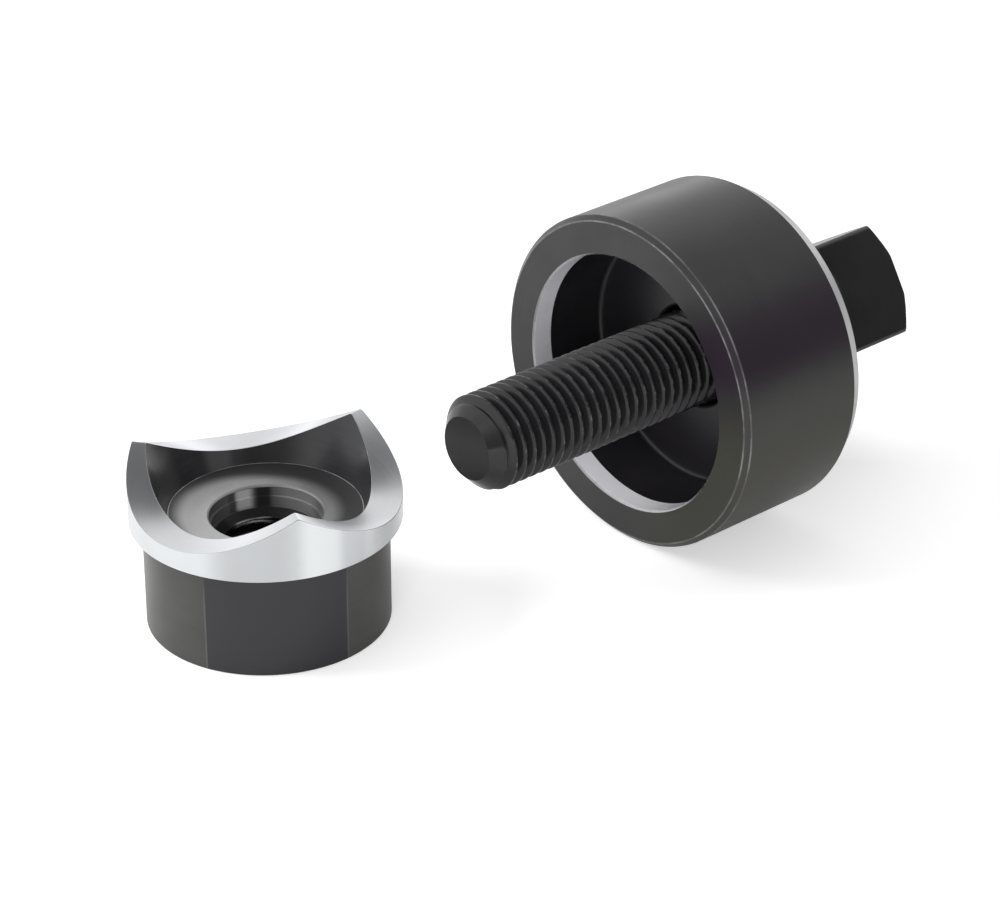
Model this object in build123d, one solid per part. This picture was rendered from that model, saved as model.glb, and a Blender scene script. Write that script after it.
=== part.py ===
from build123d import *
import math
import os

# Knockout punch set, in millimetres. The die lies on its side with the draw bolt through it, and the punch
# stands on its base beside the bolt's free end. +Z is up, +X runs from the bolt's free end to its head, and
# the origin is on the bench below the middle of the set. The bolt, die and bearing are first drawn about
# their own axis, +Z, from the die's front face at zero towards the head, and then laid down along +X.

# Draw bolt: a coarse metric thread with a square head milled on round bar
thread_dia = 20.0
thread_pitch = 2.5
flank_half_angle = 30.0
bolt_reach = 42.2          # free end in front of the die's front face
bolt_tip_dia = 13.2
thread_end_depth = 21.0    # where the thread stops, behind the die's front face
thread_relief = 1.4        # bare neck between the thread and the shank
shank_dia = 19.9
head_across_flats = 24.0
head_bar_dia = 33.0
head_collar = 6.0
head_square_length = 20.6
head_end_dia = 25.2
head_chamfer_length = 3.0
head_turn = 31.9           # one flat's tilt above the level
corner_break = 0.4

# Punch: ground cutting ring with three shear points on a blackened body
punch_dia = 54.0
punch_height = 35.4
punch_body_dia = 48.8
ring_seat_height = 22.4
shear_points = 3
shear_depth = 9.0
tip_blunting = 0.12
first_point_angle = 125.8
rim_bore_dia = 48.2
cone_foot_dia = 38.5
cone_foot_height = 23.5
cup_floor_height = 22.7
cup_floor_dia = 28.0
counterbore_dia = 22.6
counterbore_depth = 2.3
second_step = 0.4
second_step_depth = 2.0
base_chamfer = 0.3
hole_edge_break = 0.35
thread_clearance = 0.15

# Die: a cup with a ground land inside its mouth
die_wall = 8.15            # from the bore in the mouth to the outside
die_length = 33.7
cutting_clearance = 0.25   # between punch and die, all round
mouth_break = 0.35
land_depth = 4.9
bore_relief = 0.25
bore_depth = 19.3
bore_corner_radius = 1.2
bolt_hole_dia = 22.0
front_chamfer = 1.1
back_chamfer_depth = 1.9
back_chamfer_length = 3.3

# Thrust ball bearing between the die's back and the bolt's collar
bearing_over_collar = 1.0  # how far the bearing stands out past the collar, all round
bearing_height = 10.0
washer_thickness = 3.2
ball_dia = 5.556
ball_count = 13
race_clearance = 0.12
washer_hole_clearance = 0.55
shaft_clearance = 0.05
washer_chamfer = 0.5
cage_thickness = 1.6
cage_web = 0.4             # metal between a pocket and the cage's edges
pocket_clearance = 0.15

# Where the punch stands, from the middle of the die's front face
punch_behind_x = 73.6
punch_aside_y = 24.1

# Worked out from the sizes above
flank_slope = math.tan(math.radians(flank_half_angle))
fundamental_height = thread_pitch / 2 / flank_slope
thread_r = thread_dia / 2
bolt_root_r = thread_r - fundamental_height * 17 / 24
nut_root_r = thread_r - fundamental_height * 5 / 8
crest_flat = thread_pitch / 8
root_overlap = 0.2
head_start = die_length + bearing_height
head_end = head_start + head_collar + head_square_length
punch_r = punch_dia / 2
die_dia = punch_dia + 2 * (cutting_clearance + die_wall)
axis_height = die_dia / 2
bearing_dia = head_bar_dia + 2 * bearing_over_collar
ball_circle_dia = (bearing_dia + shank_dia) / 2
pocket_r = ball_dia / 2 + pocket_clearance
low_x = -punch_behind_x - punch_r
mid_x = (low_x + head_end) / 2
mid_y = (punch_aside_y + punch_r - axis_height) / 2

to_die_axis = Location((-mid_x, -mid_y, axis_height)) * Rot(0, 90, 0)
to_punch_place = Location((-mid_x - punch_behind_x, -mid_y + punch_aside_y, 0)) * Rot(0, 0, first_point_angle)


def turned(*profile):
    """A solid turned about +Z from (radius, height) points."""
    return revolve(make_face(Plane.XZ * Polyline(*profile, close=True)), axis=Axis.Z)


def helical_ridge(root_r, crest_r, start, end):
    """One thread ridge with flanks at the thread's angle, sunk a little into the core that carries it."""
    inner_r = root_r - root_overlap
    half_crest = crest_flat / 2
    half_base = half_crest + (crest_r - inner_r) * flank_slope
    path = Helix(pitch=thread_pitch, height=end - start, radius=inner_r)
    section_plane = Plane(origin=path @ 0, x_dir=(1, 0, 0), z_dir=path % 0)
    depth = crest_r - inner_r
    section = section_plane * make_face(
        Polyline((0, -half_base), (depth, -half_crest), (depth, half_crest), (0, half_base), close=True))
    return Pos(0, 0, start) * sweep(section, path=path, is_frenet=True)


def draw_bolt():
    tip = -bolt_reach
    tip_r = bolt_tip_dia / 2
    shank_r = shank_dia / 2
    beyond = 2 * thread_pitch
    shank_start = thread_end_depth + thread_relief
    seat = head_start + corner_break
    core = Pos(0, 0, tip - beyond) * Cylinder(bolt_root_r, bolt_reach + head_start + beyond - corner_break,
                                              align=(Align.CENTER, Align.CENTER, Align.MIN))
    rod = core + helical_ridge(bolt_root_r, thread_r, tip - thread_pitch, thread_end_depth)
    # The free end: cut square, with a 45 degree lead
    lead_waste = turned((tip_r, tip), (tip_r + beyond, tip + beyond), (tip_r + beyond, tip - 2 * beyond),
                        (0, tip - 2 * beyond), (0, tip))
    shank = turned((0, shank_start), (bolt_root_r + root_overlap, shank_start),
                   (shank_r, shank_start + shank_r - bolt_root_r - root_overlap), (shank_r, seat), (0, seat))
    return rod - lead_waste + (shank + bolt_head())


def bolt_head():
    bar_r = head_bar_dia / 2
    end_r = head_end_dia / 2
    flats_start = head_start + head_collar
    blank = turned((0, head_start), (bar_r - corner_break, head_start), (bar_r, head_start + corner_break),
                   (bar_r, head_end - head_chamfer_length), (end_r, head_end), (0, head_end))
    keep = Pos(0, 0, flats_start) * Box(head_across_flats, head_across_flats, head_square_length * 2,
                                        align=(Align.CENTER, Align.CENTER, Align.MIN))
    ring = Pos(0, 0, flats_start) * Cylinder(head_bar_dia, head_square_length * 2,
                                             align=(Align.CENTER, Align.CENTER, Align.MIN))
    return Rot(0, 0, -head_turn) * (blank - (ring - keep))


def die():
    outer_r = die_dia / 2
    land_r = punch_r + cutting_clearance
    bore_r = land_r + bore_relief
    hole_r = bolt_hole_dia / 2
    corner = bore_corner_radius
    outline = Polyline((bore_r - corner, bore_depth), (hole_r + corner_break, bore_depth),
                       (hole_r, bore_depth + corner_break), (hole_r, die_length - corner_break),
                       (hole_r + corner_break, die_length), (outer_r - back_chamfer_depth, die_length),
                       (outer_r, die_length - back_chamfer_length), (outer_r, front_chamfer),
                       (outer_r - front_chamfer, 0), (land_r + mouth_break, 0), (land_r, mouth_break),
                       (land_r, land_depth), (bore_r, land_depth + bore_relief), (bore_r, bore_depth - corner))
    middle = corner * (1 - math.sin(math.radians(45)))
    corner_arc = ThreePointArc((bore_r, bore_depth - corner), (bore_r - middle, bore_depth - middle),
                               (bore_r - corner, bore_depth))
    return revolve(Plane.XZ * make_face(outline + corner_arc), axis=Axis.Z)


def shear_scoop():
    """The waste between two shear points: its lower face is ruled by level lines through the punch's axis."""
    half_span = 180 / shear_points
    low = punch_height + tip_blunting - shear_depth
    rise = shear_depth / (1 - math.cos(math.radians(half_span)))
    steps = 8
    angles = [half_span * (2 * i / steps - 1) for i in range(steps + 1)]
    faces = []
    for distance in (cup_floor_dia / 4, punch_dia * 0.6):
        floor = [(distance * math.tan(math.radians(a)), low + rise * (1 - math.cos(math.radians(a))))
                 for a in angles]
        left, right = floor[0], floor[-1]
        top = punch_height + shear_depth
        walls = Polyline(right, (right[0], top), (left[0], top), left)
        section_plane = Plane(origin=(distance, 0, 0), x_dir=(0, 1, 0), z_dir=(1, 0, 0))
        edge = Edge.make_spline(floor, parameters=[i / steps for i in range(steps + 1)])
        faces.append(section_plane * make_face([edge, *walls.edges()]))
    return loft(faces, ruled=True)


def punch():
    body_r = punch_body_dia / 2
    rim_r = rim_bore_dia / 2
    foot_r = cone_foot_dia / 2
    floor_r = cup_floor_dia / 2
    blank = turned((0, 0), (body_r - base_chamfer, 0), (body_r, base_chamfer), (body_r, ring_seat_height),
                   (punch_r, ring_seat_height), (punch_r, punch_height), (0, punch_height))
    # The cup: a steep cone down to a sharp foot, then a hollow curve that meets the floor level
    drop = cone_foot_height - cup_floor_height
    wall = Polyline((floor_r, cup_floor_height), (0, cup_floor_height), (0, punch_height + shear_depth),
                    (rim_r + (rim_r - foot_r) * shear_depth / (punch_height - cone_foot_height),
                     punch_height + shear_depth), (foot_r, cone_foot_height))
    hollow = ThreePointArc((foot_r, cone_foot_height),
                           ((foot_r + floor_r) / 2, cup_floor_height + drop * 0.27), (floor_r, cup_floor_height))
    cup = revolve(Plane.XZ * make_face(wall + hollow), axis=Axis.Z)
    solid = blank - cup
    for i in range(shear_points):
        solid = solid - Rot(0, 0, (i + 0.5) * 360 / shear_points) * shear_scoop()
    # The thread is cut in a plain bore before the stepped hole, because the cut fails on the hole's cones
    bore = Cylinder(nut_root_r, 2 * punch_height)
    return solid - bore - punch_thread() - punch_hole()


def punch_hole():
    """The stepped hole from the cup's floor through the base, at the thread's inner diameter."""
    wide_r = counterbore_dia / 2
    next_r = wide_r - second_step
    mouth_r = thread_r + second_step
    ledge = cup_floor_height - counterbore_depth
    seat = ledge - second_step_depth
    mouth = mouth_r - nut_root_r
    top = cup_floor_height
    return turned((0, -1), (mouth_r, -1), (mouth_r, 0), (nut_root_r, mouth), (nut_root_r, seat - mouth),
                  (mouth_r, seat), (next_r, seat), (next_r, ledge), (wide_r, ledge),
                  (wide_r, top - hole_edge_break), (wide_r + hole_edge_break, top),
                  (wide_r + hole_edge_break, top + 1), (0, top + 1))


def punch_thread():
    """The thread's groove, run out past the base and into the wide part of the hole."""
    seat = cup_floor_height - counterbore_depth - second_step_depth
    return helical_ridge(nut_root_r, thread_r + thread_clearance, -thread_pitch, seat + thread_pitch)


def bearing_race_groove(centre_height):
    """The ring that a ball sweeps, with its running clearance."""
    return Pos(0, 0, centre_height) * Torus(ball_circle_dia / 2, ball_dia / 2 + race_clearance)


def bearing_washer(low, hole_r):
    high = low + washer_thickness
    outer_r = bearing_dia / 2
    ring = turned((hole_r + washer_chamfer, low), (hole_r, low + washer_chamfer), (hole_r, high - washer_chamfer),
                  (hole_r + washer_chamfer, high), (outer_r - washer_chamfer, high),
                  (outer_r, high - washer_chamfer), (outer_r, low + washer_chamfer),
                  (outer_r - washer_chamfer, low))
    return ring - bearing_race_groove(die_length + bearing_height / 2)


def bearing_housing_washer():
    return bearing_washer(die_length, shank_dia / 2 + washer_hole_clearance)


def bearing_shaft_washer():
    return bearing_washer(head_start - washer_thickness, shank_dia / 2 + shaft_clearance)


def ball_places():
    height = die_length + bearing_height / 2
    return [Rot(0, 0, i * 360 / ball_count) * Pos(ball_circle_dia / 2, 0, height) for i in range(ball_count)]


def bearing_balls():
    return [place * Sphere(ball_dia / 2) for place in ball_places()]


def bearing_cage():
    low = die_length + (bearing_height - cage_thickness) / 2
    high = low + cage_thickness
    inner_r = ball_circle_dia / 2 - pocket_r - cage_web
    outer_r = ball_circle_dia / 2 + pocket_r + cage_web
    ring = turned((inner_r, low), (outer_r, low), (outer_r, high), (inner_r, high))
    for place in ball_places():
        ring = ring - place * Cylinder(pocket_r, 2 * cage_thickness)
    return ring


def write(name, shape, place):
    solids = shape if isinstance(shape, list) else shape.solids()
    placed = [place * solid for solid in solids]
    whole = placed[0] if len(placed) == 1 else Compound(children=placed)
    whole.label = name
    export_step(whole, f"parts/{name}.step")


os.makedirs("parts", exist_ok=True)
write("punch", punch(), to_punch_place)
write("die", die(), to_die_axis)
write("draw_bolt", draw_bolt(), to_die_axis)
write("bearing_housing_washer", bearing_housing_washer(), to_die_axis)
write("bearing_shaft_washer", bearing_shaft_washer(), to_die_axis)
write("bearing_balls", bearing_balls(), to_die_axis)
write("bearing_cage", bearing_cage(), to_die_axis)
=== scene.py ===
import math

import bmesh
import bpy
import numpy as np
from mathutils import Matrix, Vector


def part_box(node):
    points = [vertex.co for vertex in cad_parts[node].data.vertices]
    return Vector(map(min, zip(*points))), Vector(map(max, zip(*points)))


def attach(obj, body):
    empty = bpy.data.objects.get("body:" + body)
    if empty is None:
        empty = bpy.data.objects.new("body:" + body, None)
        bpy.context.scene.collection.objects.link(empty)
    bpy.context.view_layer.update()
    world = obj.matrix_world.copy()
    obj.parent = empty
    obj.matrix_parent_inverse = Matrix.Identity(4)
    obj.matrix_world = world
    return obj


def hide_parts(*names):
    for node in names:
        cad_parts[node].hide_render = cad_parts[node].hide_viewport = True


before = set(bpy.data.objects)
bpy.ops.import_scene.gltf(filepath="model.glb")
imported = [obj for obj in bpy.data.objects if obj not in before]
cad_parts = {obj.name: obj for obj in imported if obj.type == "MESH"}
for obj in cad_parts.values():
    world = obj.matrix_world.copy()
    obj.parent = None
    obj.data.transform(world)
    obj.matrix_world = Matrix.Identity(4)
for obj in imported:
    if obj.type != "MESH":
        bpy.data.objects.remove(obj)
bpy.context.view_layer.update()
MM = 0.001


def box_mm(node):
    low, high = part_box(node)
    return np.array(low) / MM, np.array(high) / MM


# Sizes and places of the solids from their boxes, in millimetres
die_low, die_high = box_mm("die")
bolt_low, bolt_high = box_mm("draw_bolt")
punch_low, punch_high = box_mm("punch")
AXIS_Y = float(die_low[1] + die_high[1]) / 2
AXIS_Z = float(die_low[2] + die_high[2]) / 2
FACE_X = float(die_low[0])
DIE_R = float(die_high[2] - die_low[2]) / 2
DIE_LENGTH = float(die_high[0] - die_low[0])
BOLT_TIP = float(bolt_low[0]) - FACE_X
HEAD_END = float(bolt_high[0]) - FACE_X
PUNCH_X = float(punch_low[0] + punch_high[0]) / 2
PUNCH_Y = float(punch_low[1] + punch_high[1]) / 2
PUNCH_R = float(punch_high[0] - punch_low[0]) / 2
PUNCH_TOP = float(punch_high[2])

# Sizes of the solids that no box gives, in millimetres
PITCH = 2.5
FLANK_SLOPE = math.tan(math.radians(30))
THREAD_R = 10.0
THREAD_CLEARANCE = 0.15
BOLT_ROOT_R = 8.466
NUT_ROOT_R = 8.647

LAND_R = PUNCH_R + 0.25
LAND_DEPTH = 4.9
LAND_STEP = 0.25
BORE_R = LAND_R + 0.25
BORE_DEPTH = 19.3
BORE_ROUNDING = 1.2
MOUTH_BREAK = 0.35
BOLT_HOLE_R = 11.0
BOLT_HOLE_BREAK = 0.4
FRONT_CHAMFER = 1.1
BACK_CHAMFER = (1.9, 3.3)

FIRST_POINT = math.radians(125.8)
BODY_R = 24.4
RING_SEAT = 22.4
SHEAR = 9.0
BLUNTING = 0.12
CONE_TOP_R = 24.1
CONE_FOOT = (19.25, 23.5)
FLOOR_R, FLOOR_Z = 14.0, 22.7
COUNTERBORE_R, COUNTERBORE_DEPTH = 11.3, 2.3
COUNTERBORE_BREAK = 0.35
STEP_R, STEP_DEPTH = 10.9, 2.0
SEAT_Z = FLOOR_Z - COUNTERBORE_DEPTH - STEP_DEPTH
THREAD_MOUTH_R = 10.4
THREAD_MOUTH_DEPTH = THREAD_MOUTH_R - NUT_ROOT_R
BASE_CHAMFER = 0.3

THREAD_END = 21.0
NECK_LENGTH, NECK_CONE = 1.4, 1.5
TIP_R = 6.6
BEARING_HEIGHT = 10.0
HEAD_START = DIE_LENGTH + BEARING_HEIGHT
FLATS_START = HEAD_START + 6.0
BAR_R = 16.5
SHANK_R = 9.95
HALF_FLAT = 12.0
END_R = 12.6
HEAD_CHAMFER = 3.0
HEAD_TURN = math.radians(31.9)

# How finely the visual meshes are divided round their axes
WIDE_COLUMNS = 360
BOLT_COLUMNS = 128


def along_die():
    """The place of a piece drawn about +Z from the die's front face, in metres."""
    place = Matrix.Translation(Vector((FACE_X, AXIS_Y, AXIS_Z)) * MM)
    return place @ Matrix.Rotation(math.radians(90), 4, "Y")


def at_punch():
    return Matrix.Translation(Vector((PUNCH_X, PUNCH_Y, 0.0)) * MM)


# Profiles and meshes
def holding_reach(reach, length):
    """How far from a corner a point beside its arc keeps the next face flat in smooth shading."""
    nearest, usual, share = 0.004, 0.12, 0.45
    return max(reach + nearest, min(reach + usual, share * length))


def rounded(points, steps=4):
    """Points (radius, height, rounding) as a polyline of (radius, height) whose corners are arcs."""
    longest_share = 0.48
    out = []
    count = len(points)
    for i, (r, z, rounding) in enumerate(points):
        if rounding <= 0 or i in (0, count - 1):
            out.append((r, z))
            continue
        here = np.array((r, z))
        before = np.array(points[i - 1][:2]) - here
        after = np.array(points[i + 1][:2]) - here
        length_a, length_b = np.linalg.norm(before), np.linalg.norm(after)
        unit_a, unit_b = before / length_a, after / length_b
        half = math.acos(max(-1.0, min(1.0, float(unit_a @ unit_b)))) / 2
        if half > math.radians(89):
            out.append((r, z))
            continue
        reach = min(rounding / math.tan(half), longest_share * length_a, longest_share * length_b)
        radius = reach * math.tan(half)
        middle = unit_a + unit_b
        centre = here + middle / np.linalg.norm(middle) * radius / math.sin(half)
        start, end = here + unit_a * reach - centre, here + unit_b * reach - centre
        angle = math.acos(max(-1.0, min(1.0, float(start @ end) / radius**2)))
        out.append(tuple(here + unit_a * holding_reach(reach, length_a)))
        for k in range(steps + 1):
            t = k / steps
            arc = (math.sin((1 - t) * angle) * start + math.sin(t * angle) * end) / math.sin(angle)
            out.append(tuple(centre + arc))
        out.append(tuple(here + unit_b * holding_reach(reach, length_b)))
    return out


def arc_through(a, middle, b, steps):
    """Points on the circle through three (radius, height) points, from a to b."""
    (ax, ay), (mx, my), (bx, by) = a, middle, b
    across = 2 * (ax * (my - by) + mx * (by - ay) + bx * (ay - my))
    a2, m2, b2 = ax * ax + ay * ay, mx * mx + my * my, bx * bx + by * by
    centre = np.array(((a2 * (my - by) + m2 * (by - ay) + b2 * (ay - my)) / across,
                       (a2 * (bx - mx) + m2 * (ax - bx) + b2 * (mx - ax)) / across))
    start, end = (math.atan2(*(np.array(p) - centre)[::-1]) for p in (a, b))
    radius = math.hypot(*(np.array(a) - centre))
    return [(centre[0] + radius * math.cos(t), centre[1] + radius * math.sin(t))
            for t in np.linspace(start, end, steps + 1)]


def divided(points, longest):
    """The same polyline with no step longer than this."""
    out = [points[0]]
    for a, b in zip(points, points[1:]):
        count = max(1, math.ceil(math.hypot(b[0] - a[0], b[1] - a[1]) / longest))
        start, way = np.array(a), np.array(b) - np.array(a)
        out += [tuple(start + way * k / count) for k in range(1, count + 1)]
    return out


def grid_mesh(shells, sharp_deg=32):
    """One mesh from shells of (radius, height, angle) grids in mm, each with a material slot per row."""
    verts, faces, slots = [], [], []
    for radius, height, angle, row_slots in shells:
        rows, columns = radius.shape
        base = len(verts)
        x, y = radius * np.cos(angle) * MM, radius * np.sin(angle) * MM
        verts += [tuple(v) for v in np.stack([x, y, height * MM], -1).reshape(-1, 3)]
        for j in range(rows - 1):
            for i in range(columns - 1):
                a = base + j * columns + i
                faces.append((a, a + 1, a + columns + 1, a + columns))
                slots.append(row_slots[j])
    mesh = bpy.data.meshes.new("grid")
    mesh.from_pydata(verts, [], faces)
    mesh.polygons.foreach_set("material_index", np.array(slots, np.int32))
    work = bmesh.new()
    work.from_mesh(mesh)
    same_place, no_length = 2e-6, 1e-7
    bmesh.ops.remove_doubles(work, verts=work.verts, dist=same_place)
    bmesh.ops.dissolve_degenerate(work, dist=no_length, edges=work.edges)
    bmesh.ops.recalc_face_normals(work, faces=work.faces)
    work.to_mesh(mesh)
    work.free()
    mesh.polygons.foreach_set("use_smooth", np.ones(len(mesh.polygons), bool))
    mesh.set_sharp_from_angle(angle=math.radians(sharp_deg))
    return mesh


def piece(name, mesh, place, body, node, materials):
    """An object that stands in for a CAD node and rides on that node's body."""
    mesh.name = name
    obj = bpy.data.objects.new(name, mesh)
    bpy.context.scene.collection.objects.link(obj)
    for material in materials:
        mesh.materials.append(material)
    obj.matrix_world = place
    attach(obj, body)
    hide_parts(node)


def turned_shell(profile, angles, row_slots):
    """A profile of (radius, height) turned round the axis."""
    rz = np.array(profile)
    radius = np.repeat(rz[:, :1], len(angles), 1)
    height = np.repeat(rz[:, 1:2], len(angles), 1)
    return radius, height, np.repeat(angles[None, :], len(rz), 0), row_slots


def smooth_min(a, b, width):
    """The lesser of two values, blended where they lie within this width of each other."""
    h = np.clip(0.5 + 0.5 * (b - a) / width, 0, 1)
    return b + (a - b) * h - width * h * (1 - h)


def even_angles(count):
    return np.linspace(0, 2 * math.pi, count + 1)


def thread_rows(crest_r, root_r):
    """One pitch of a 60 degree thread as (share of the pitch, radius), crest first, with its edges eased."""
    crest_half = 1 / 16
    crest_drop, flank_drop = 0.03, 0.0252 * PITCH / FLANK_SLOPE
    reach = abs(crest_r - root_r) * FLANK_SLOPE / PITCH
    half = [(0, crest_r), (crest_half * 0.7, crest_r), (crest_half * 1.05, crest_r - crest_drop),
            (crest_half * 1.6, crest_r - flank_drop)]
    for share in (0.35, 0.65, 0.93):
        half.append((crest_half + reach * share, crest_r + (root_r - crest_r) * share))
    half += [(crest_half + reach * 1.06, root_r), (0.5, root_r)]
    back = [(1 - share, r) for share, r in half[-2:0:-1]]
    return half + back


def thread_shell(rows, crest, start, end, angles, limit, slot):
    """A helical grid between the heights start and end.

    crest is the height of a crest at angle zero, and limit(radius, height) gives the radius that is left.
    """
    turns = int(math.ceil((end - crest) / PITCH)) + 2
    share = np.array([k + u for k in range(-1, turns) for u, _ in rows])
    radii = np.array([r for _ in range(-1, turns) for _, r in rows])
    raw = crest + (share[:, None] + angles[None, :] / (2 * math.pi)) * PITCH
    height = np.clip(raw, start, end)
    # A clamped row takes the radius that the thread has at the end plane
    period = np.array([u for u, _ in rows] + [1.0])
    profile = np.array([r for _, r in rows] + [rows[0][1]])
    phase = ((height - crest) / PITCH - angles[None, :] / (2 * math.pi)) % 1.0
    at_height = np.interp(phase, period, profile)
    radius = np.where(raw == height, radii[:, None], at_height)
    return limit(radius, height), height, np.repeat(angles[None, :], len(share), 0), [slot] * len(share)


# Materials
def new_material(name):
    material = bpy.data.materials.new(name)
    material.use_nodes = True
    tree = material.node_tree
    tree.nodes.clear()
    out = tree.nodes.new("ShaderNodeOutputMaterial")
    shader = tree.nodes.new("ShaderNodeBsdfPrincipled")
    tree.links.new(shader.outputs["BSDF"], out.inputs["Surface"])
    return material, tree, shader


class Net:
    """Short calls for a material's nodes."""

    def __init__(self, tree):
        self.tree = tree
        self.coordinates = tree.nodes.new("ShaderNodeTexCoord")
        self.at = self.coordinates.outputs["Object"]

    def node(self, kind, **values):
        made = self.tree.nodes.new("ShaderNode" + kind)
        for key, value in values.items():
            setattr(made, key, value)
        return made

    def put(self, socket, value):
        if isinstance(value, bpy.types.NodeSocket):
            self.tree.links.new(value, socket)
        elif value is not None:
            socket.default_value = value

    def math(self, operation, a, b=None):
        made = self.node("Math", operation=operation)
        self.put(made.inputs[0], a)
        self.put(made.inputs[1], b)
        return made.outputs[0]

    def split(self, vector):
        made = self.node("SeparateXYZ")
        self.put(made.inputs[0], vector)
        return made.outputs

    def join(self, x, y, z):
        made = self.node("CombineXYZ")
        for socket, value in zip(made.inputs, (x, y, z)):
            self.put(socket, value)
        return made.outputs[0]

    def noise(self, vector, scale, detail=3.0, roughness=0.55):
        made = self.node("TexNoise")
        self.put(made.inputs["Vector"], vector)
        made.inputs["Scale"].default_value = scale
        made.inputs["Detail"].default_value = detail
        made.inputs["Roughness"].default_value = roughness
        return made.outputs["Fac"]

    def ramp(self, factor, low, high, to_low=0.0, to_high=1.0):
        made = self.node("MapRange", interpolation_type="SMOOTHSTEP")
        self.put(made.inputs["Value"], factor)
        for name, value in (("From Min", low), ("From Max", high), ("To Min", to_low), ("To Max", to_high)):
            self.put(made.inputs[name], value)
        return made.outputs[0]

    def mix(self, factor, a, b):
        made = self.node("Mix", data_type="RGBA")
        self.put(made.inputs[0], factor)
        for socket, value in ((made.inputs[6], a), (made.inputs[7], b)):
            self.put(socket, (*value, 1.0) if isinstance(value, tuple) and len(value) == 3 else value)
        return made.outputs[2]

    def bump(self, height, strength, distance):
        made = self.node("Bump")
        made.inputs["Strength"].default_value = strength
        made.inputs["Distance"].default_value = distance
        self.put(made.inputs["Height"], height)
        return made.outputs[0]

    def polar(self):
        """Radius and height in metres, and the angle in radians, about the piece's own axis."""
        x, y, z = self.split(self.at)
        square = self.math("ADD", self.math("MULTIPLY", x, x), self.math("MULTIPLY", y, y))
        radius = self.math("SQRT", square)
        angle = self.math("ARCTAN2", y, x)
        return radius, z, angle


def grain(net, across=1500.0, around=2.2, detail=1.0):
    """Fine tool marks that run round the axis: noise stretched along the angle."""
    radius, height, angle = net.polar()
    vector = net.join(net.math("MULTIPLY", net.math("SINE", angle), around),
                      net.math("MULTIPLY", net.math("COSINE", angle), around),
                      net.math("MULTIPLY", net.math("ADD", radius, height), across))
    return net.noise(vector, 1.0, detail, 0.6)


def edge_band(net, edges, width):
    """How near a point is to round edges, given as (radius, height) in mm: 1 on them, 0 past the width."""
    radius, height, _ = net.polar()
    nearest = None
    for edge_radius, edge_height in edges:
        out = net.math("SUBTRACT", radius, edge_radius * MM)
        up = net.math("SUBTRACT", height, edge_height * MM)
        away = net.math("SQRT", net.math("ADD", net.math("MULTIPLY", out, out), net.math("MULTIPLY", up, up)))
        nearest = away if nearest is None else net.math("MINIMUM", nearest, away)
    return net.ramp(nearest, width * MM, 0.35 * width * MM)


def broken(net, scale, low, high):
    """Noise as patches of 0 and 1 with soft edges."""
    return net.ramp(net.noise(net.at, scale, 4.0, 0.7), low, high)


def black_oxide(name, tint, lighter, roughness, marks=0.25, wear_and_glints=None, recolour=None, specular=0.5):
    """Blackened steel: near-black with soft clouds, fine turning marks, and light bare steel where the mask
    says so: real wear, and painted glints in the punch's hole.
    """
    material, tree, shader = new_material(name)
    net = Net(tree)
    clouds = net.noise(net.at, 90.0, 2.0, 0.5)
    lines = grain(net)
    tone = net.math("ADD", net.math("MULTIPLY", clouds, 0.7), net.math("MULTIPLY", lines, 0.3))
    colour = net.mix(net.ramp(tone, 0.3, 0.7), tint, lighter)
    if recolour is not None:
        colour = recolour(net, colour)
    if wear_and_glints is not None:
        # Light bare steel from the mask: worn edges and crests, and painted glints in the punch's hole
        bare_and_glint = wear_and_glints(net)
        colour = net.mix(bare_and_glint, colour, (0.46, 0.46, 0.47))
        net.put(shader.inputs["Metallic"], bare_and_glint)
    net.put(shader.inputs["Base Color"], colour)
    smudges = net.noise(net.at, 55.0, 1.0, 0.5)
    net.put(shader.inputs["Roughness"], net.ramp(smudges, 0.2, 0.8, roughness - 0.02, roughness + 0.04))
    shader.inputs["IOR"].default_value = 1.5
    shader.inputs["Specular IOR Level"].default_value = specular
    net.put(shader.inputs["Normal"], net.bump(net.math("MULTIPLY", lines, marks), 0.10, 0.00006))
    return material


def ground_steel(name, dark, light, roughness, marks=0.5, metallic=1.0, recolour=None):
    """Ground steel with grinding lines round the axis and a faint mottle."""
    material, tree, shader = new_material(name)
    net = Net(tree)
    lines = grain(net, across=5000.0, around=1.3, detail=2.0)
    mottle = net.noise(net.at, 160.0, 4.0, 0.6)
    tone = net.math("ADD", net.math("MULTIPLY", lines, 0.5), net.math("MULTIPLY", mottle, 0.5))
    colour = net.mix(net.ramp(tone, 0.36, 0.66), dark, light)
    if recolour is not None:
        colour = recolour(net, colour)
    net.put(shader.inputs["Base Color"], colour)
    shader.inputs["Metallic"].default_value = metallic
    net.put(shader.inputs["Roughness"], net.ramp(lines, 0.3, 0.7, roughness - 0.02, roughness + 0.02))
    net.put(shader.inputs["Normal"], net.bump(net.math("MULTIPLY", lines, marks), 0.16, 0.00005))
    return material


def die_wear(net):
    """Bright lines where the die's front chamfer has rubbed, brightest in places."""
    edges = [(DIE_R - FRONT_CHAMFER, 0.0), (DIE_R, FRONT_CHAMFER)]
    band = edge_band(net, edges, 0.26)
    return net.math("MULTIPLY", band, net.ramp(broken(net, 110.0, 0.35, 0.7), 0.0, 1.0, 0.10, 0.42))


def bolt_wear(net):
    """Rubbed thread crests."""
    radius, height, _ = net.polar()
    crest = net.math("MULTIPLY", net.ramp(radius, (THREAD_R - 0.09) * MM, (THREAD_R - 0.01) * MM),
                     net.ramp(height, (THREAD_END + 0.5) * MM, (THREAD_END - 0.5) * MM))
    return net.math("MULTIPLY", net.math("MULTIPLY", crest, broken(net, 420.0, 0.48, 0.7)), 0.25)


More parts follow.
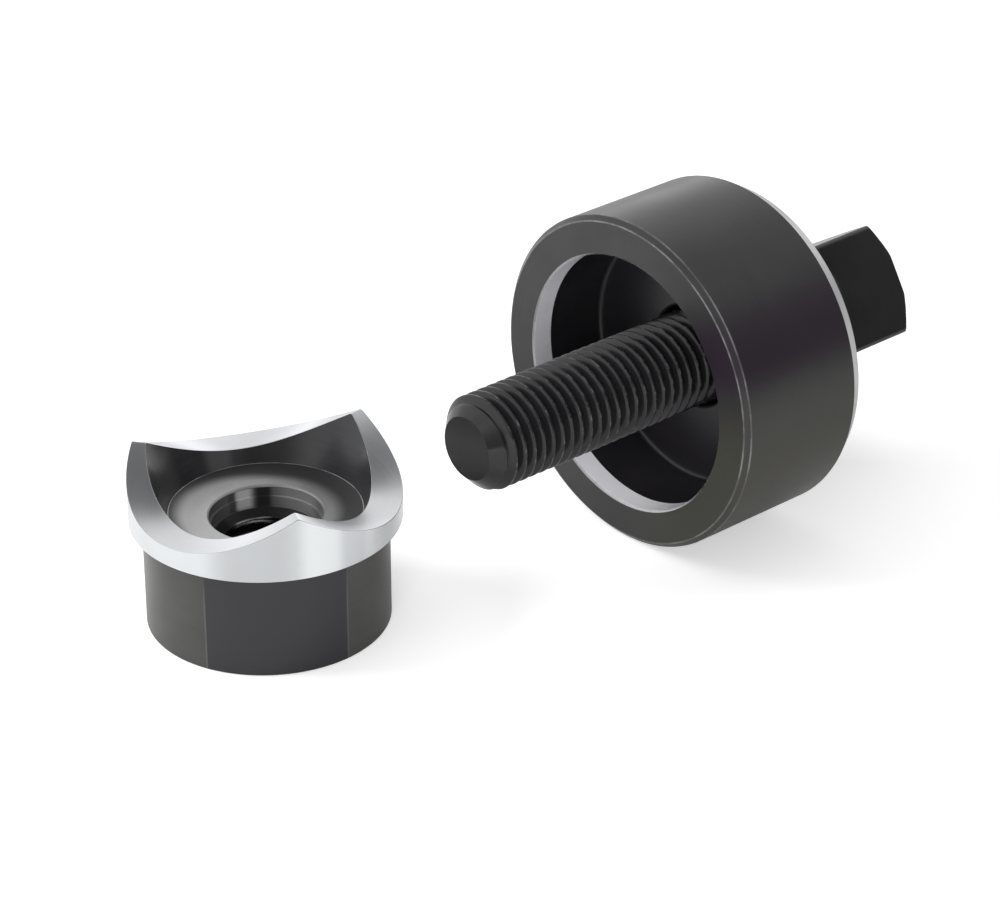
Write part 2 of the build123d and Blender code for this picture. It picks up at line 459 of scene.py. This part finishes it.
def painted_thread_glints(net):
    """Painted glints: the crests of the punch's thread made light bare steel on one side, where the light's
    highlight falls.
    """
    radius, height, angle = net.polar()
    crest = net.math("MULTIPLY", net.ramp(radius, (NUT_ROOT_R + 0.30) * MM, (NUT_ROOT_R + 0.05) * MM),
                     net.ramp(height, (SEAT_Z - 0.4) * MM, (SEAT_Z - 0.8) * MM))
    off = net.math("ABSOLUTE", net.math("SUBTRACT", angle, math.radians(74)))
    side = net.ramp(off, math.radians(32), math.radians(14))
    return net.math("MULTIPLY", net.math("MULTIPLY", crest, side), broken(net, 300.0, 0.30, 0.5))


def grey(tone):
    return tone, tone, 1.02 * tone


def patches(net, colour, spots):
    """Patches of another tone round the axis, each as (middle, half width, tone) with angles in degrees."""
    _, _, angle = net.polar()
    for middle, half_width, tone in spots:
        off = net.math("ABSOLUTE", net.math("SUBTRACT", angle, math.radians(middle)))
        near = net.ramp(off, math.radians(half_width), math.radians(0.35 * half_width))
        colour = net.mix(near, colour, tone)
    return colour


def counterbore_painted_light(net, colour):
    """The counterbore's wall with painted highlights and painted shade in patches at set angles round it. The
    thread below it stays black.
    """
    _, height, _ = net.polar()
    wall = patches(net, grey(0.12), [(55, 12, grey(0.025)), (76, 13, grey(0.50)), (15, 34, grey(0.22)),
                                     (90, 6, grey(0.08))])
    return net.mix(net.ramp(height, (SEAT_Z - 0.2) * MM, (SEAT_Z + 0.2) * MM), colour, wall)


def wall_patches(net, colour):
    """The cone inside the cup, a little darker and lighter in places."""
    return patches(net, colour, [(50, 20, grey(0.014)), (80, 11, grey(0.055)), (128, 22, grey(0.05))])


def painted_die_reflection(net, colour):
    """The die's oxide with painted reflection: lighter and olive on its lower right side, where it mirrors
    the floor, and faintly violet above that.
    """
    return patches(net, colour, [(-55, 60, (0.026, 0.0255, 0.0185)), (-120, 17, (0.0175, 0.0115, 0.0185))])


def blank_field(net, colour):
    """The bluish upright field on the punch's front, between two fine light lines, as in the photograph."""
    middle, half_width = math.radians(-123.4), math.radians(34.4)
    _, height, angle = net.polar()
    off = net.math("ABSOLUTE", net.math("SUBTRACT", angle, middle))
    tall = net.ramp(height, (RING_SEAT - 1.3) * MM, (RING_SEAT - 1.7) * MM)
    inside = net.math("MULTIPLY", net.ramp(off, half_width + 0.004, half_width - 0.004), tall)
    line = net.math("ABSOLUTE", net.math("SUBTRACT", off, half_width))
    line = net.math("MULTIPLY", net.ramp(line, 0.010, 0.004), net.ramp(height, 21 * MM, 12 * MM, 0.25, 1.0))
    line = net.math("MULTIPLY", line, tall)
    colour = net.mix(inside, colour, (0.0175, 0.0165, 0.0205))
    return net.mix(net.math("MULTIPLY", line, 0.6), colour, (0.10, 0.10, 0.105))


def painted_ring_reflection(net, colour):
    """Painted reflection: broad lighter and darker patches at set angles round the ring."""
    return patches(net, colour, [(-132, 26, (0.57, 0.585, 0.60)), (-104, 12, (0.84, 0.86, 0.875)),
                                 (-89, 9, (0.66, 0.675, 0.70))])


def floor_painted_light_and_shade(net, colour):
    """The cup's floor with painted light and shade: pale round the hole and lighter on the side where the
    light falls, painted shade dark outwards, less so on that side, and darker on the far side, with a painted
    glint as a light line at the cone's foot.
    """
    radius, _, angle = net.polar()
    side = net.math("COSINE", net.math("SUBTRACT", angle, math.radians(160)))
    colour = net.mix(net.ramp(side, -0.2, 1.0, 0.0, 0.55), colour, (0.62, 0.62, 0.62))
    colour = net.mix(net.ramp(side, -0.5, -1.0, 0.0, 0.40), colour, (0.17, 0.17, 0.175))
    inward = net.math("SUBTRACT", radius, net.ramp(side, -0.6, 1.0, 0.0, 3.2 * MM))
    colour = net.mix(net.ramp(inward, 12.6 * MM, 16.2 * MM), colour, (0.06, 0.06, 0.063))
    line = edge_band(net, [CONE_FOOT], 0.2)
    return net.mix(net.math("MULTIPLY", line, broken(net, 120.0, 0.3, 0.6)), colour, (0.5, 0.5, 0.5))


punch_black = black_oxide("punch_black_oxide", (0.036, 0.0355, 0.034), (0.046, 0.046, 0.043), 0.30,
                          recolour=blank_field)
punch_inside = black_oxide("punch_inside_oxide", (0.020, 0.020, 0.022), (0.030, 0.030, 0.032), 0.22,
                           recolour=wall_patches)
punch_floor = ground_steel("punch_floor_oxide", (0.32, 0.32, 0.325), (0.40, 0.40, 0.40), 0.42, marks=0.6,
                           metallic=0.75, recolour=floor_painted_light_and_shade)
# The hole's oxide carries painted highlights and shade on the counterbore's wall, and painted glints on the
# thread's crests
punch_hole = black_oxide("punch_hole_oxide", (0.012, 0.0115, 0.012), (0.020, 0.0195, 0.020), 0.20,
                         wear_and_glints=painted_thread_glints, recolour=counterbore_painted_light, specular=0.2)
ring_bright = ground_steel("punch_ground_ring", (0.735, 0.755, 0.77), (0.785, 0.805, 0.82), 0.24, marks=0.45,
                           recolour=painted_ring_reflection)
rim_bright = ground_steel("punch_ground_rim", (0.66, 0.67, 0.69), (0.71, 0.72, 0.74), 0.31, marks=0.2)
die_black = black_oxide("die_black_oxide", (0.0165, 0.0155, 0.0175), (0.023, 0.022, 0.023), 0.30,
                        wear_and_glints=die_wear, recolour=painted_die_reflection)
die_bore = black_oxide("die_bore_oxide", (0.010, 0.009, 0.0115), (0.015, 0.0135, 0.0155), 0.30, marks=0.5)
die_rubbed = ground_steel("die_rubbed_chamfer", (0.40, 0.40, 0.405), (0.50, 0.50, 0.505), 0.24, metallic=0.9)
die_land = ground_steel("die_ground_land", (0.88, 0.88, 0.93), (0.94, 0.94, 0.98), 0.50, metallic=0.15)
bolt_black = black_oxide("bolt_black_oxide", (0.010, 0.0095, 0.0105), (0.016, 0.0155, 0.017), 0.18,
                         wear_and_glints=bolt_wear)
bolt_end = black_oxide("bolt_sawn_end", (0.012, 0.0115, 0.0125), (0.018, 0.0175, 0.018), 0.36)
bearing_bright = ground_steel("bearing_ground_steel", (0.58, 0.58, 0.60), (0.70, 0.70, 0.72), 0.22)
cage_bright = ground_steel("cage_pressed_steel", (0.40, 0.40, 0.41), (0.52, 0.52, 0.53), 0.42)

# Die: land, relief, deep bore, floor and clearance hole
OUTLINE_START = (LAND_R, 2.0, 0)
hole_wide_r = BOLT_HOLE_R + BOLT_HOLE_BREAK
# Each corner is (radius, height, rounding), and the outline starts and ends within the land
die_corners = [
    OUTLINE_START, (LAND_R, MOUTH_BREAK, 0.06), (LAND_R + MOUTH_BREAK, 0.0, 0.06),
    (DIE_R - FRONT_CHAMFER, 0.0, 0.16), (DIE_R, FRONT_CHAMFER, 0.2),
    (DIE_R, DIE_LENGTH - BACK_CHAMFER[1], 0.25), (DIE_R - BACK_CHAMFER[0], DIE_LENGTH, 0.2),
    (hole_wide_r, DIE_LENGTH, 0.1), (BOLT_HOLE_R, DIE_LENGTH - BOLT_HOLE_BREAK, 0.1),
    (BOLT_HOLE_R, BORE_DEPTH + BOLT_HOLE_BREAK, 0.1), (hole_wide_r, BORE_DEPTH, 0.1),
    (BORE_R, BORE_DEPTH, BORE_ROUNDING), (BORE_R, LAND_DEPTH + LAND_STEP, 0.06), (LAND_R, LAND_DEPTH, 0.05),
    OUTLINE_START]
die_profile = divided(rounded(die_corners, 5), 4.0)
OUTSIDE, DEEP_BORE, LAND, RUBBED = range(4)


def die_row_slot(a, b):
    """The material of the row of faces between two points of the die's outline."""
    r, z = (a[0] + b[0]) / 2, (a[1] + b[1]) / 2
    if z > DIE_LENGTH - BACK_CHAMFER[1] + 0.1 and r > DIE_R - BACK_CHAMFER[0]:
        return RUBBED
    if LAND_R + 0.05 < r < LAND_R + MOUTH_BREAK and z < MOUTH_BREAK:
        return RUBBED
    if BOLT_HOLE_R < r < LAND_R + 0.05 and z < LAND_DEPTH + 0.03:
        return LAND
    return DEEP_BORE if r < BORE_R + 0.01 and MOUTH_BREAK < z <= BORE_DEPTH + 0.01 else OUTSIDE


die_slots = [die_row_slot(a, b) for a, b in zip(die_profile, die_profile[1:])] + [OUTSIDE]
die_mesh = grid_mesh([turned_shell(die_profile, even_angles(WIDE_COLUMNS), die_slots)])
piece("die_body", die_mesh, along_die(), "die", "die",
      [die_black, die_bore, die_land, die_rubbed])

# Punch: the rim's height follows the angle, level along each radius
LOW_RIM = PUNCH_TOP + BLUNTING - SHEAR
RISE = SHEAR / (1 - math.cos(math.radians(60)))
DISH_SAG = 0.27
dish_middle = ((CONE_FOOT[0] + FLOOR_R) / 2, FLOOR_Z + DISH_SAG * (CONE_FOOT[1] - FLOOR_Z))
dish = arc_through(CONE_FOOT, dish_middle, (FLOOR_R, FLOOR_Z), 8)
BLACK, RING, RIM, INSIDE, CUP_FLOOR, HOLE = range(6)


def rim_height(angle):
    """The rim's height at an angle from the first point, with each point a little blunted."""
    from_low = angle % math.radians(120) - math.radians(60)
    height = LOW_RIM + RISE * (1 - math.cos(from_low))
    return float(smooth_min(np.float64(height), np.float64(PUNCH_TOP), BLUNTING))


def punch_profile(angle):
    """The punch's outline at an angle from the first point, from the thread's lower end to its upper end."""
    rim = rim_height(angle)
    slope = (CONE_TOP_R - CONE_FOOT[0]) / (PUNCH_TOP - CONE_FOOT[1])
    inner = CONE_FOOT[0] + (rim - CONE_FOOT[1]) * slope
    corners = [
        (NUT_ROOT_R, THREAD_MOUTH_DEPTH, 0), (THREAD_MOUTH_R, 0.0, 0.08),
        (BODY_R - BASE_CHAMFER, 0.0, 0.08), (BODY_R, BASE_CHAMFER, 0.12),
        (BODY_R, RING_SEAT, 0.15), (PUNCH_R, RING_SEAT, 0.08), (PUNCH_R, rim, 0.1), (inner, rim, 0.08),
        *((r, z, 0) for r, z in dish),
        (COUNTERBORE_R + COUNTERBORE_BREAK, FLOOR_Z, 0.08),
        (COUNTERBORE_R, FLOOR_Z - COUNTERBORE_BREAK, 0.08),
        (COUNTERBORE_R, FLOOR_Z - COUNTERBORE_DEPTH, 0.06), (STEP_R, FLOOR_Z - COUNTERBORE_DEPTH, 0.06),
        (STEP_R, SEAT_Z, 0.06), (THREAD_MOUTH_R, SEAT_Z, 0.08), (NUT_ROOT_R, SEAT_Z - THREAD_MOUTH_DEPTH, 0)]
    return rounded(corners, 4)


def punch_row_slot(lower, upper):
    """The material of the row of faces between two rows of (radius, height) points round the punch."""
    r, z = ((lower + upper) / 2).mean(0)
    on_ring = r > BODY_R + 0.3 and z > RING_SEAT - 0.1
    level = abs(lower[:, 1] - upper[:, 1]).max() < 0.06
    if on_ring and r > PUNCH_R - 0.12:
        return RING
    if z > PUNCH_TOP - SHEAR + 0.1 and r > CONE_FOOT[0] + 1.25 and (level or r > CONE_TOP_R):
        return RIM
    if z < RING_SEAT + 0.02 and r > BODY_R - 0.7:
        return BLACK
    if z > CONE_FOOT[1]:
        return INSIDE
    return CUP_FLOOR if r > COUNTERBORE_R - 0.05 and z > FLOOR_Z - 0.5 else HOLE


def punch_shell(angles):
    table = np.array([punch_profile(angle) for angle in angles])
    # Long stretches are divided evenly so that each row keeps its place round the punch
    longest = 2.5
    rows = [table[:, 0]]
    for j in range(1, table.shape[1]):
        a, b = table[:, j - 1], table[:, j]
        count = max(1, math.ceil(np.hypot(*(b - a).T).max() / longest))
        rows += [a + (b - a) * k / count for k in range(1, count + 1)]
    grid = np.array(rows)
    slots = [punch_row_slot(lower, upper) for lower, upper in zip(grid, grid[1:])] + [BLACK]
    return grid[..., 0], grid[..., 1], np.repeat(angles[None, :] + FIRST_POINT, len(grid), 0), slots


def nut_shell(angles):
    """The thread in the punch's hole, whose groove fades out over a short height at each end."""
    start, end, fade_height = THREAD_MOUTH_DEPTH, SEAT_Z - THREAD_MOUTH_DEPTH, 0.5
    rows = thread_rows(THREAD_R + THREAD_CLEARANCE, NUT_ROOT_R)
    radius, height, angle, slots = thread_shell(rows, 0.0, start, end, angles, lambda r, z: r, HOLE)
    fade = np.clip(np.minimum(height - start, end - height) / fade_height, 0, 1)
    return NUT_ROOT_R + (radius - NUT_ROOT_R) * fade, height, angle + FIRST_POINT, slots


punch_angles = even_angles(WIDE_COLUMNS)
punch_mesh = grid_mesh([punch_shell(punch_angles), nut_shell(punch_angles)])
piece("punch_body", punch_mesh, at_punch(), "punch", "punch",
      [punch_black, ring_bright, rim_bright, punch_inside, punch_floor, punch_hole])

# Draw bolt: shells for the tip, the thread with its lead, the relief neck and shank, and the square head
OXIDE, SAWN_END = range(2)


def lead_limit(radius, height):
    """The thread's radius, cut back to the 45 degree lead at the bolt's tip."""
    return smooth_min(radius, TIP_R + (height - BOLT_TIP), 0.08)


def fine_corner_angles():
    """Angles half a degree apart at the head's four corners and two degrees apart between them."""
    marks = []
    for quarter in range(4):
        corner = quarter * 90 + 45
        marks += list(np.arange(corner - 7, corner + 7.01, 0.5))
        marks += list(np.arange(corner + 9, corner + 83, 2.0))
    return np.radians(np.array(sorted(marks) + [marks[0] + 360]))


bolt_rows = thread_rows(THREAD_R, BOLT_ROOT_R)
bolt_angles = even_angles(BOLT_COLUMNS)
thread = thread_shell(bolt_rows, BOLT_TIP, BOLT_TIP, THREAD_END, bolt_angles, lead_limit, OXIDE)
end_radius = float(lead_limit(np.float64(BOLT_ROOT_R), np.float64(BOLT_TIP)))
tip_cap = turned_shell([(0, BOLT_TIP), (3, BOLT_TIP), (end_radius, BOLT_TIP)], bolt_angles, [SAWN_END] * 3)
neck_end, inside_head = THREAD_END + NECK_LENGTH, HEAD_START + 1
neck_profile = rounded([(BOLT_ROOT_R, THREAD_END, 0), (BOLT_ROOT_R, neck_end, 0.3),
                        (SHANK_R, neck_end + NECK_CONE, 0.2), (SHANK_R, inside_head, 0), (0, inside_head, 0)])
neck = turned_shell(neck_profile, bolt_angles, [OXIDE] * len(neck_profile))


def head_shell():
    """The collar, then a square cut from round bar with its end chamfered, as rows of (radii, height)."""
    angles = fine_corner_angles()
    square = HALF_FLAT / np.maximum(abs(np.cos(angles)), abs(np.sin(angles)))
    chamfer_start = HEAD_END - HEAD_CHAMFER
    slope = (BAR_R - END_R) / HEAD_CHAMFER
    end_ease, end_drop, corner_ease = 0.15, 0.12, 0.25

    def head_radii(height):
        bar = np.full_like(angles, min(BAR_R, BAR_R - (height - chamfer_start) * slope))
        return smooth_min(square, bar, corner_ease)

    # The collar's edge is eased where it meets the square
    collar = rounded([(0, HEAD_START, 0), (BAR_R, HEAD_START, 0.35), (BAR_R, FLATS_START - 0.3, 0)])
    collar += [(BAR_R - 0.03, FLATS_START - 0.08), (BAR_R - 0.12, FLATS_START)]
    heights = [*np.linspace(FLATS_START, chamfer_start - 0.6, 12),
               *np.arange(chamfer_start - 0.45, HEAD_END - 0.1, 0.15)]
    rows = [(np.full_like(angles, r), z) for r, z in collar] + [(head_radii(z), z) for z in heights]
    rows += [(head_radii(HEAD_END), HEAD_END - end_drop), (head_radii(HEAD_END) - end_ease, HEAD_END),
             (np.zeros_like(angles), HEAD_END)]
    radius = np.array([r for r, _ in rows])
    height = np.array([np.full_like(angles, z) for _, z in rows])
    return radius, height, np.repeat(angles[None, :] - HEAD_TURN, len(rows), 0), [OXIDE] * len(rows)


bolt_mesh = grid_mesh([tip_cap, thread, neck, head_shell()], sharp_deg=38)
piece("draw_bolt_body", bolt_mesh, along_die(), "bolt", "draw_bolt", [bolt_black, bolt_end])

# The bearing's own solids stay, with their steel
for node, material in (("bearing_housing_washer", bearing_bright), ("bearing_shaft_washer", bearing_bright),
                       ("bearing_balls", bearing_bright), ("bearing_cage", cage_bright)):
    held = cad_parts[node]
    for index in range(len(held.material_slots)):
        held.material_slots[index].material = material


# Floor, world, lamps and camera
def ray_kinds(tree):
    path = tree.nodes.new("ShaderNodeLightPath")
    return path.outputs


def floor_material():
    """White with a little glow of its own, which still shows the set's shadow."""
    material = bpy.data.materials.new("floor_white")
    material.use_nodes = True
    tree = material.node_tree
    tree.nodes.clear()
    net = Net(tree)
    out = net.node("OutputMaterial")
    diffuse = net.node("BsdfDiffuse")
    diffuse.inputs["Color"].default_value = (0.9, 0.9, 0.9, 1)
    glow = net.node("Emission")
    add = net.node("AddShader")
    # The glow makes up for the lamps' light, which fades away from the set
    away, _, _ = net.polar()
    strength = net.ramp(away, 0.3, 1.1, 0.42, 0.62)
    net.put(glow.inputs["Strength"], net.math("MULTIPLY", strength, ray_kinds(tree)["Is Camera Ray"]))
    tree.links.new(diffuse.outputs[0], add.inputs[0])
    tree.links.new(glow.outputs[0], add.inputs[1])
    tree.links.new(add.outputs[0], out.inputs["Surface"])
    return material


def make_floor():
    mesh = bpy.data.meshes.new("floor")
    half = 3.0
    corners = [(-half, -half, 0), (half, -half, 0), (half, half, 0), (-half, half, 0)]
    mesh.from_pydata(corners, [], [(0, 1, 2, 3)])
    mesh.materials.append(floor_material())
    floor = bpy.data.objects.new("floor", mesh)
    bpy.context.scene.collection.objects.link(floor)


def make_world():
    world = bpy.data.worlds.new("studio")
    bpy.context.scene.world = world
    world.use_nodes = True
    tree = world.node_tree
    tree.nodes.clear()
    net = Net(tree)
    out = net.node("OutputWorld")
    kinds = ray_kinds(tree)
    x, y, z = net.split(net.coordinates.outputs["Generated"])

    def background(strength):
        made = net.node("Background")
        made.inputs["Color"].default_value = (1, 1, 1, 1)
        net.put(made.inputs["Strength"], strength)
        return made.outputs[0]

    def toward(azimuth):
        side = math.radians(azimuth)
        across, along = net.math("MULTIPLY", x, math.cos(side)), net.math("MULTIPLY", y, math.sin(side))
        return net.math("ADD", across, along)

    # Polished metal sees a studio tent: white round the sides, brightest low behind the set, and dark
    # overhead and on the viewer's side
    dark_side = net.math("MAXIMUM", toward(-62), toward(-115))
    level = net.ramp(dark_side, 0.38, 0.95, 1.0, 0.17)
    overhead = net.ramp(z, 0.70, 0.90, 1.0, 0.16)
    behind = net.math("MULTIPLY", net.ramp(toward(48), 0.60, 0.92, 0.0, 0.65), net.ramp(z, 0.38, 0.10))
    tent = background(net.math("ADD", net.math("MULTIPLY", level, overhead), behind))
    see_tent = net.node("MixShader")
    net.put(see_tent.inputs["Fac"], kinds["Is Glossy Ray"])
    net.put(see_tent.inputs[1], background(0.45))
    net.put(see_tent.inputs[2], tent)
    see_white = net.node("MixShader")
    seen_directly = net.math("MAXIMUM", kinds["Is Camera Ray"], kinds["Is Transmission Ray"])
    net.put(see_white.inputs["Fac"], seen_directly)
    net.put(see_white.inputs[1], see_tent.outputs[0])
    net.put(see_white.inputs[2], background(1.0))
    net.put(out.inputs["Surface"], see_white.outputs[0])


def lamp(name, place, aim, size, power):
    """A soft lamp that lights dull surfaces only, so that polished ones mirror the tent alone."""
    data = bpy.data.lights.new(name, "AREA")
    data.shape = "SQUARE"
    data.size = size
    data.energy = power
    obj = bpy.data.objects.new(name, data)
    bpy.context.scene.collection.objects.link(obj)
    obj.location = place
    obj.rotation_mode = "QUATERNION"
    obj.rotation_quaternion = (Vector(aim) - Vector(place)).to_track_quat("-Z", "Y")
    obj.visible_glossy = False


def make_camera():
    data = bpy.data.cameras.new("camera")
    camera = bpy.data.objects.new("camera", data)
    bpy.context.scene.collection.objects.link(camera)
    place = Vector((-413.55, -453.15, 348.6)) * MM
    aim = Vector((21.67, 37.20, 0.0)) * MM
    camera.location = place
    camera.rotation_mode = "QUATERNION"
    camera.rotation_quaternion = (aim - place).to_track_quat("-Z", "Y")
    data.sensor_width = 36.0
    data.lens = 122.88
    data.clip_start, data.clip_end = 0.02, 50.0
    bpy.context.scene.camera = camera


make_floor()
make_world()
lamp("top_soft", (-0.1, 0.1, 0.9), (0, 0, 0.02), 0.8, 1.6)
lamp("left_key", (-0.5, 0.5, 0.55), (-0.02, 0, 0.02), 0.45, 4.8)
lamp("viewer_fill", (-0.6, -0.55, 0.25), (0, 0, 0.03), 0.4, 3.6)
make_camera()
bpy.context.scene.view_settings.view_transform = "Standard"
